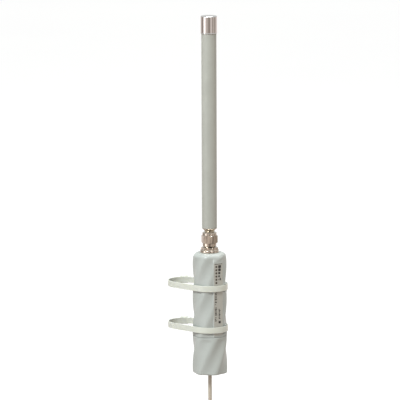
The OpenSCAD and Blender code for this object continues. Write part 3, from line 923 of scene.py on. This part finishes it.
def coupling_nut():
    """A sleeve, a hexagon and a collar, with an inner groove for the snap ring."""
    low, high = NUT_LOW.z, NUT_HIGH.z
    hex_low, hex_high = low + 4.0, low + 14.0
    corner_r, sleeve_r, collar_r = 10.7, 8.7, 9.0
    groove_low, groove_high = low + 11.4, low + 13.0
    across = corner_r * math.cos(math.radians(30))
    outline = [
        (8.05, low + 0.3), (8.2, low), (8.35, low), (sleeve_r, low + 0.45), (sleeve_r, hex_low - 0.5),
        (sleeve_r - 0.3, hex_low - 0.3), (sleeve_r - 0.3, hex_low), (corner_r - 1.15, hex_low),
        (corner_r, hex_low + 0.75), (corner_r, hex_high - 0.75), (corner_r - 1.15, hex_high),
        (collar_r - 0.45, hex_high), (collar_r - 0.45, hex_high + 0.45), (collar_r, hex_high + 0.6),
        (collar_r, high - 0.9), (collar_r - 0.15, high - 0.5), (collar_r - 0.7, high - 0.1),
        (collar_r - 0.9, high), (6.5, high), (6.3, high - 0.2), (6.3, groove_high), (7.6, groove_high),
        (7.6, groove_low), (6.9, groove_low), (6.9, low + 10.7), (8.05, low + 10.7),
    ]
    nut = lathe(dense(outline, 0.9), 240, True, hex_shape(across, HEX_TURN))
    make_piece("coupling_nut_turned", *nut, "nut", sharp=24, node="coupling_nut", slot="nickel",
               material=NICKEL_WITH_PAINTED_REFLECTIONS)


def antenna_base():
    """The neck between the connector and the tube, with its plug inside the tube."""
    low, seat, high = BASE_LOW.z, TUBE_LOW.z, BASE_HIGH.z
    tube_r, bore_r, socket_r = 9.5, 8.0, 5.25
    outline = [
        (socket_r, low + 0.1), (socket_r + 0.1, low), (6.05, low), (6.2, low + 0.15), (6.25, low + 0.9),
        (6.6, low + 1.5), (7.5, low + 2.6), (8.6, seat - 1.4), (9.2, seat - 1.0), (tube_r, seat - 0.6),
        (tube_r, seat - 0.1), (tube_r - 0.1, seat), (bore_r - 0.05, seat), (bore_r - 0.05, seat + 4.8),
        (6.7, seat + 4.8), (6.7, seat + 6.4), (bore_r - 0.05, seat + 6.4), (bore_r - 0.05, high - 0.6),
        (bore_r - 0.6, high), (2.1, high), (2.1, low + 3), (socket_r, low + 3),
    ]
    make_piece("antenna_base_turned", *lathe(outline, 160), "antenna", sharp=30, node="antenna_base",
               slot="nickel", material=NICKEL_WITH_PAINTED_REFLECTIONS)


def radome():
    low, high = TUBE_LOW.z, TUBE_HIGH.z
    outer, inner = 9.5, 8.0
    outline = [(outer - 0.25, low), (outer - 0.07, low + 0.07), (outer, low + 0.25)]
    outline += [(outer, z) for z in heights(low + 4, high - 4, 8.0)]
    outline += [(outer, high - 0.2), (outer - 0.2, high), (inner + 0.2, high), (inner, high - 0.2)]
    outline += [(inner, low + 0.2), (inner + 0.2, low)]
    make_piece("radome_tube_painted", *lathe(outline, 160), "antenna", sharp=40, node="radome_tube",
               slot="fibreglass_paint", material=ROD_PAINT)


def top_cap():
    """A drawn cup with a slightly rolled rim."""
    low, high = CAP_LOW.z, CAP_HIGH.z
    outer, bore, centre = 10.25, 9.55, 0.3
    outline = [
        (centre, high - 2), (bore, high - 2), (bore, low + 0.1), (bore + 0.1, low), (outer - 0.05, low),
        (outer + 0.1, low + 0.12), (outer + 0.12, low + 0.5), (outer + 0.1, low + 0.9),
        (outer, low + 1.15), (outer, low + 1.5), (outer, high - 1.3), (outer, high - 0.9),
        (outer - 0.09, high - 0.5), (outer - 0.35, high - 0.15), (outer - 0.8, high), (centre, high),
    ]
    make_piece("top_cap_polished", *lathe(outline, 200, closed=False), "antenna", sharp=40,
               node="top_cap", slot="chrome_cap", material=CHROME)


coupling_nut()
antenna_base()
radome()
top_cap()


# ---------- the label and its generic marks ----------

PAD_TURN = Matrix.Translation(ORIGIN) @ Matrix.Rotation(math.radians(PAD_ANGLE - 270), 4, "Z")
LABEL_FACE = PAD_DIST + 0.15
LABEL_HALF = 6.3
LABEL_Z = (-32.0, 60.0)
PRINT_T = 0.05
WINDOW_R = 1.45
WINDOW_RISE = 0.4              # how far the windows sit above the status lights behind them
WINDOW_Z = [LED_LOW + i * LED_PITCH + WINDOW_RISE for i in range(LED_COUNT)]
# Width and height of the block beside each window but the lowest, from below upwards
BLOCKS = [(1.7, 1.9), (2.6, 2.5), (3.1, 2.9), (3.8, 3.4), (4.2, 3.6)]
# Length and height on the pad of each dash in the left column, downwards
DASHES = [
    (3.3, 24.6), (3.0, 22.6), (2.8, 20.6), (3.0, 18.6), (2.6, 16.6), (3.2, 14.6), (2.2, 12.6),
    (2.8, 10.6), (1.2, 7.8), (2.9, 3.6), (3.1, 1.8), (2.4, 0.0), (3.0, -1.8), (2.6, -3.6),
    (3.2, -5.4), (2.3, -9.0), (1.8, -11.0), (2.4, -13.0),
]
DASH_LEFT = -5.1
DASH_HALF = 0.55
FINE_ROWS = 8
FINE_PITCH = 1.7


def on_pad(outline, back, front):
    """A thin flat shape on the pad; back and front are distances from the housing's axis."""
    rings = [[PAD_TURN @ Vector((x, -depth, z)) for x, z in outline] for depth in (back, front)]
    return loft(rings, closed=False)


def plate(left, right, low, high, back, front, corner=0.3, steps=3):
    """A plate on the pad, with rounded corners."""
    corner = min(corner, (right - left) * 0.49, (high - low) * 0.49)
    outline = []
    for x, z, start in ((right - corner, high - corner, 0), (left + corner, high - corner, 90),
                        (left + corner, low + corner, 180), (right - corner, low + corner, 270)):
        for i in range(steps + 1):
            a = math.radians(start + 90 * i / steps)
            outline.append((x + corner * math.cos(a), z + corner * math.sin(a)))
    return on_pad(outline, back, front)


def disc(x, z, r, back, front, count=28):
    turns = [TAU * i / count for i in range(count)]
    return on_pad([(x + r * math.cos(a), z + r * math.sin(a)) for a in turns], back, front)


def label():
    film = plate(-LABEL_HALF, LABEL_HALF, *LABEL_Z, PAD_DIST - 0.02, LABEL_FACE, 1.2, 6)
    make_piece("label_film", *film, "radio", node="label", slot="label_film", material=LABEL_FILM)
    back, front = LABEL_FACE - 0.02, LABEL_FACE + PRINT_T
    dark, pale = [], []
    # A bar across the top: painted shade below the step at the top of the label pad
    dark.append(plate(-5.6, 5.6, 58.9, 59.6, back, front, 0.1))
    # A column of blocks that grow smaller downwards, the lowest one pale
    for (width, tall), z in zip(BLOCKS, WINDOW_Z[1:]):
        block = plate(-0.2, -0.2 + width, z - tall / 2, z + tall / 2, back, front, 0.8)
        (pale if z == WINDOW_Z[1] else dark).append(block)
    # A narrow mark beside the lowest block
    dark.append(plate(2.0, 3.7, WINDOW_Z[1] - 1.2, WINDOW_Z[1] + 2.0, back, front, 0.6))
    # A column of dashes, every third one pale
    for i, (long, z) in enumerate(DASHES):
        dash = plate(DASH_LEFT, DASH_LEFT + long, z - DASH_HALF, z + DASH_HALF, back, front, 0.15)
        (dark if i % 3 else pale).append(dash)
    # A finer column with a square under it
    for i in range(FINE_ROWS):
        right = 1.9 + 0.5 * (i * 5 % 3)
        dark.append(plate(0.4, right, 0.9 - FINE_PITCH * i, 2.0 - FINE_PITCH * i, back, front, 0.12))
    dark.append(plate(0.2, 3.4, -16.6, -13.4, back, front, 0.15))
    make_piece("label_marks", *joined(*dark), "radio", slot="label_film", material=INK_AND_PAINTED_SHADE)
    make_piece("label_marks_pale", *joined(*pale), "radio", slot="label_film", material=PALE_INK)
    lights = [disc(LED_COLUMN, z, WINDOW_R, back, front) for z in WINDOW_Z]
    make_piece("light_windows", *joined(*lights), "radio", slot="led_lens", material=SMOKED)


label()


# ---------- finishes of the CAD pieces that are shown as they are ----------

FINISHES = {
    RUBBER: ["shell_seal", "cable_grommet", "bulkhead_gasket", "cap_seal", "base_seal"],
    RED_RUBBER: ["front_gasket"],
    CLEAR: ["light_pipe"],
    PLUG: ["lan_plug", "far_plug"],
    LED: ["status_leds"],
    PTFE: ["female_insulator", "male_insulator", "lower_former", "upper_former"],
    GOLD: ["female_contact", "male_pin", "jack_contacts", "choke_sleeve", "lower_radiator", "middle_radiator",
           "upper_radiator"],
    COPPER: ["rf_lead", "feed_coax", "lower_coil", "upper_coil"],
    BOARD: ["main_board"],
    STEEL: ["rf_shield", "nut_retainer"],
    EPOXY: ["processor_chips", "ethernet_magnetics", "reset_switch"],
    JACK: ["rj45_jack"],
    BUTTON: ["reset_button"],
    NICKEL_WITH_PAINTED_REFLECTIONS: ["n_male_body"],
    FOAM: ["centring_discs"],
}
for finish, names in FINISHES.items():
    for name in names:
        mesh = NODES[name].data
        mesh.materials.clear()
        mesh.materials.append(finish)


# ---------- floor and light ----------

FLOOR_HALF = 20.0
FLOOR_Z = -0.30
FLOOR_GLOW = 0.75
LIT_HEIGHT = 0.12              # height on the housing's axis that the lights face


def floor_material():
    """Grey paper that glows by itself, so that it comes out white."""
    material, tree, shader = new_material("floor_paper")
    slow = noise(tree, object_coordinates(tree), 1.3, 3)
    tree.links.new(ramp(tree, slow, [(0.3, (0.29, 0.29, 0.29)), (0.7, (0.31, 0.31, 0.305))]),
                   shader.inputs["Base Color"])
    shader.inputs["Roughness"].default_value = 0.9
    shader.inputs["Specular IOR Level"].default_value = 0.1
    shader.inputs["Emission Color"].default_value = (1, 1, 1, 1)
    shader.inputs["Emission Strength"].default_value = FLOOR_GLOW
    return material


def make_floor():
    """A large floor that reflections and bounced light don't see."""
    half, z = FLOOR_HALF, FLOOR_Z
    corner_points = [(-half, -half, z), (half, -half, z), (half, half, z), (-half, half, z)]
    mesh = bpy.data.meshes.new("floor")
    mesh.from_pydata(corner_points, [], [(0, 1, 2, 3)])
    mesh.materials.append(floor_material())
    floor = bpy.data.objects.new("floor", mesh)
    bpy.context.scene.collection.objects.link(floor)
    floor.visible_glossy = False
    floor.visible_diffuse = False


def area_light(name, side, near, up, size, power, colour):
    """A soft light placed from the housing: to the camera's right, towards the camera, and up, in metres."""
    right = Vector((math.cos(CAMERA_TURN), math.sin(CAMERA_TURN), 0))
    towards = Vector((math.sin(CAMERA_TURN), -math.cos(CAMERA_TURN), 0))
    target = AXIS * MM + Vector((0, 0, LIT_HEIGHT))
    data = bpy.data.lights.new(name, "AREA")
    data.shape = "RECTANGLE"
    data.size, data.size_y = size
    data.energy = power
    data.color = colour
    light = bpy.data.objects.new(name, data)
    bpy.context.scene.collection.objects.link(light)
    light.location = target + side * right + near * towards + Vector((0, 0, up))
    light.rotation_euler = (target - light.location).to_track_quat("-Z", "Y").to_euler()
    return light


# The studio below the horizon: degrees to the right of the camera, and brightness
STUDIO = [
    (-180, 1.00), (-135, 0.80), (-104, 0.20), (-84, 0.70), (-68, 1.60), (-52, 1.40), (-34, 0.60),
    (-16, 0.60), (0, 0.32), (14, 0.36), (30, 0.85), (42, 0.70), (55, 0.34), (70, 0.66), (90, 0.36),
    (118, 0.70), (150, 0.95), (180, 1.00),
]
UPPER_COLOUR = (0.72, 0.73, 0.72, 1)
HORIZON_LOW = -0.04
HORIZON_HIGH = 0.02


def panel_colour(light):
    """Warm when dark, near neutral when bright."""
    shade = min(light, 1)
    return (light * 1.06, light * (0.86 + 0.1 * shade), light * (0.68 + 0.26 * shade))


def studio_band(tree, direction):
    """Pale panels and brown gaps that stand round the object, for its reflections and bounced light."""
    turned = tree.nodes.new("ShaderNodeMapping")
    turned.vector_type = "TEXTURE"
    # The camera's own direction comes to lie where the radial gradient is halfway
    turned.inputs["Rotation"].default_value = (0, 0, CAMERA_TURN - math.radians(90))
    tree.links.new(direction, turned.inputs["Vector"])
    around = tree.nodes.new("ShaderNodeTexGradient")
    around.gradient_type = "RADIAL"
    tree.links.new(turned.outputs["Vector"], around.inputs["Vector"])
    stops = [((angle + 180) / 360, panel_colour(light)) for angle, light in STUDIO]
    return ramp(tree, around.outputs["Fac"], stops)


def make_lights():
    area_light("key", -0.95, 1.35, 1.35, (0.5, 0.5), 44, (0.97, 1.0, 0.99))
    area_light("window", -1.9, 0.9, 0.0, (0.22, 1.8), 2.5, (0.95, 0.98, 1.0))
    fill = area_light("fill", 1.9, 0.7, 0.5, (1.0, 1.6), 13, (1.0, 0.90, 0.79))
    fill.visible_glossy = False
    area_light("top", 0.2, -0.3, 2.2, (1.2, 1.2), 48, (1.0, 1.0, 1.0))


def make_world():
    """The studio band below the horizon and one pale colour above it."""
    world = bpy.data.worlds.new("studio")
    bpy.context.scene.world = world
    world.use_nodes = True
    tree = world.node_tree
    background = next(n for n in tree.nodes if n.type == "BACKGROUND")
    place = tree.nodes.new("ShaderNodeTexCoord")
    split = tree.nodes.new("ShaderNodeSeparateXYZ")
    tree.links.new(place.outputs["Generated"], split.inputs["Vector"])
    height = tree.nodes.new("ShaderNodeMapRange")
    height.inputs["From Min"].default_value = HORIZON_LOW
    height.inputs["From Max"].default_value = HORIZON_HIGH
    tree.links.new(split.outputs["Z"], height.inputs["Value"])
    mix = tree.nodes.new("ShaderNodeMix")
    mix.data_type = "RGBA"
    colours = [s for s in mix.inputs if s.type == "RGBA"]
    tree.links.new(height.outputs["Result"], mix.inputs["Factor"])
    tree.links.new(studio_band(tree, place.outputs["Generated"]), colours[0])
    colours[1].default_value = UPPER_COLOUR
    tree.links.new(next(s for s in mix.outputs if s.type == "RGBA"), background.inputs["Color"])
    background.inputs["Strength"].default_value = 1.0


make_floor()
make_lights()
make_world()
bpy.context.scene.view_settings.view_transform = "Standard"
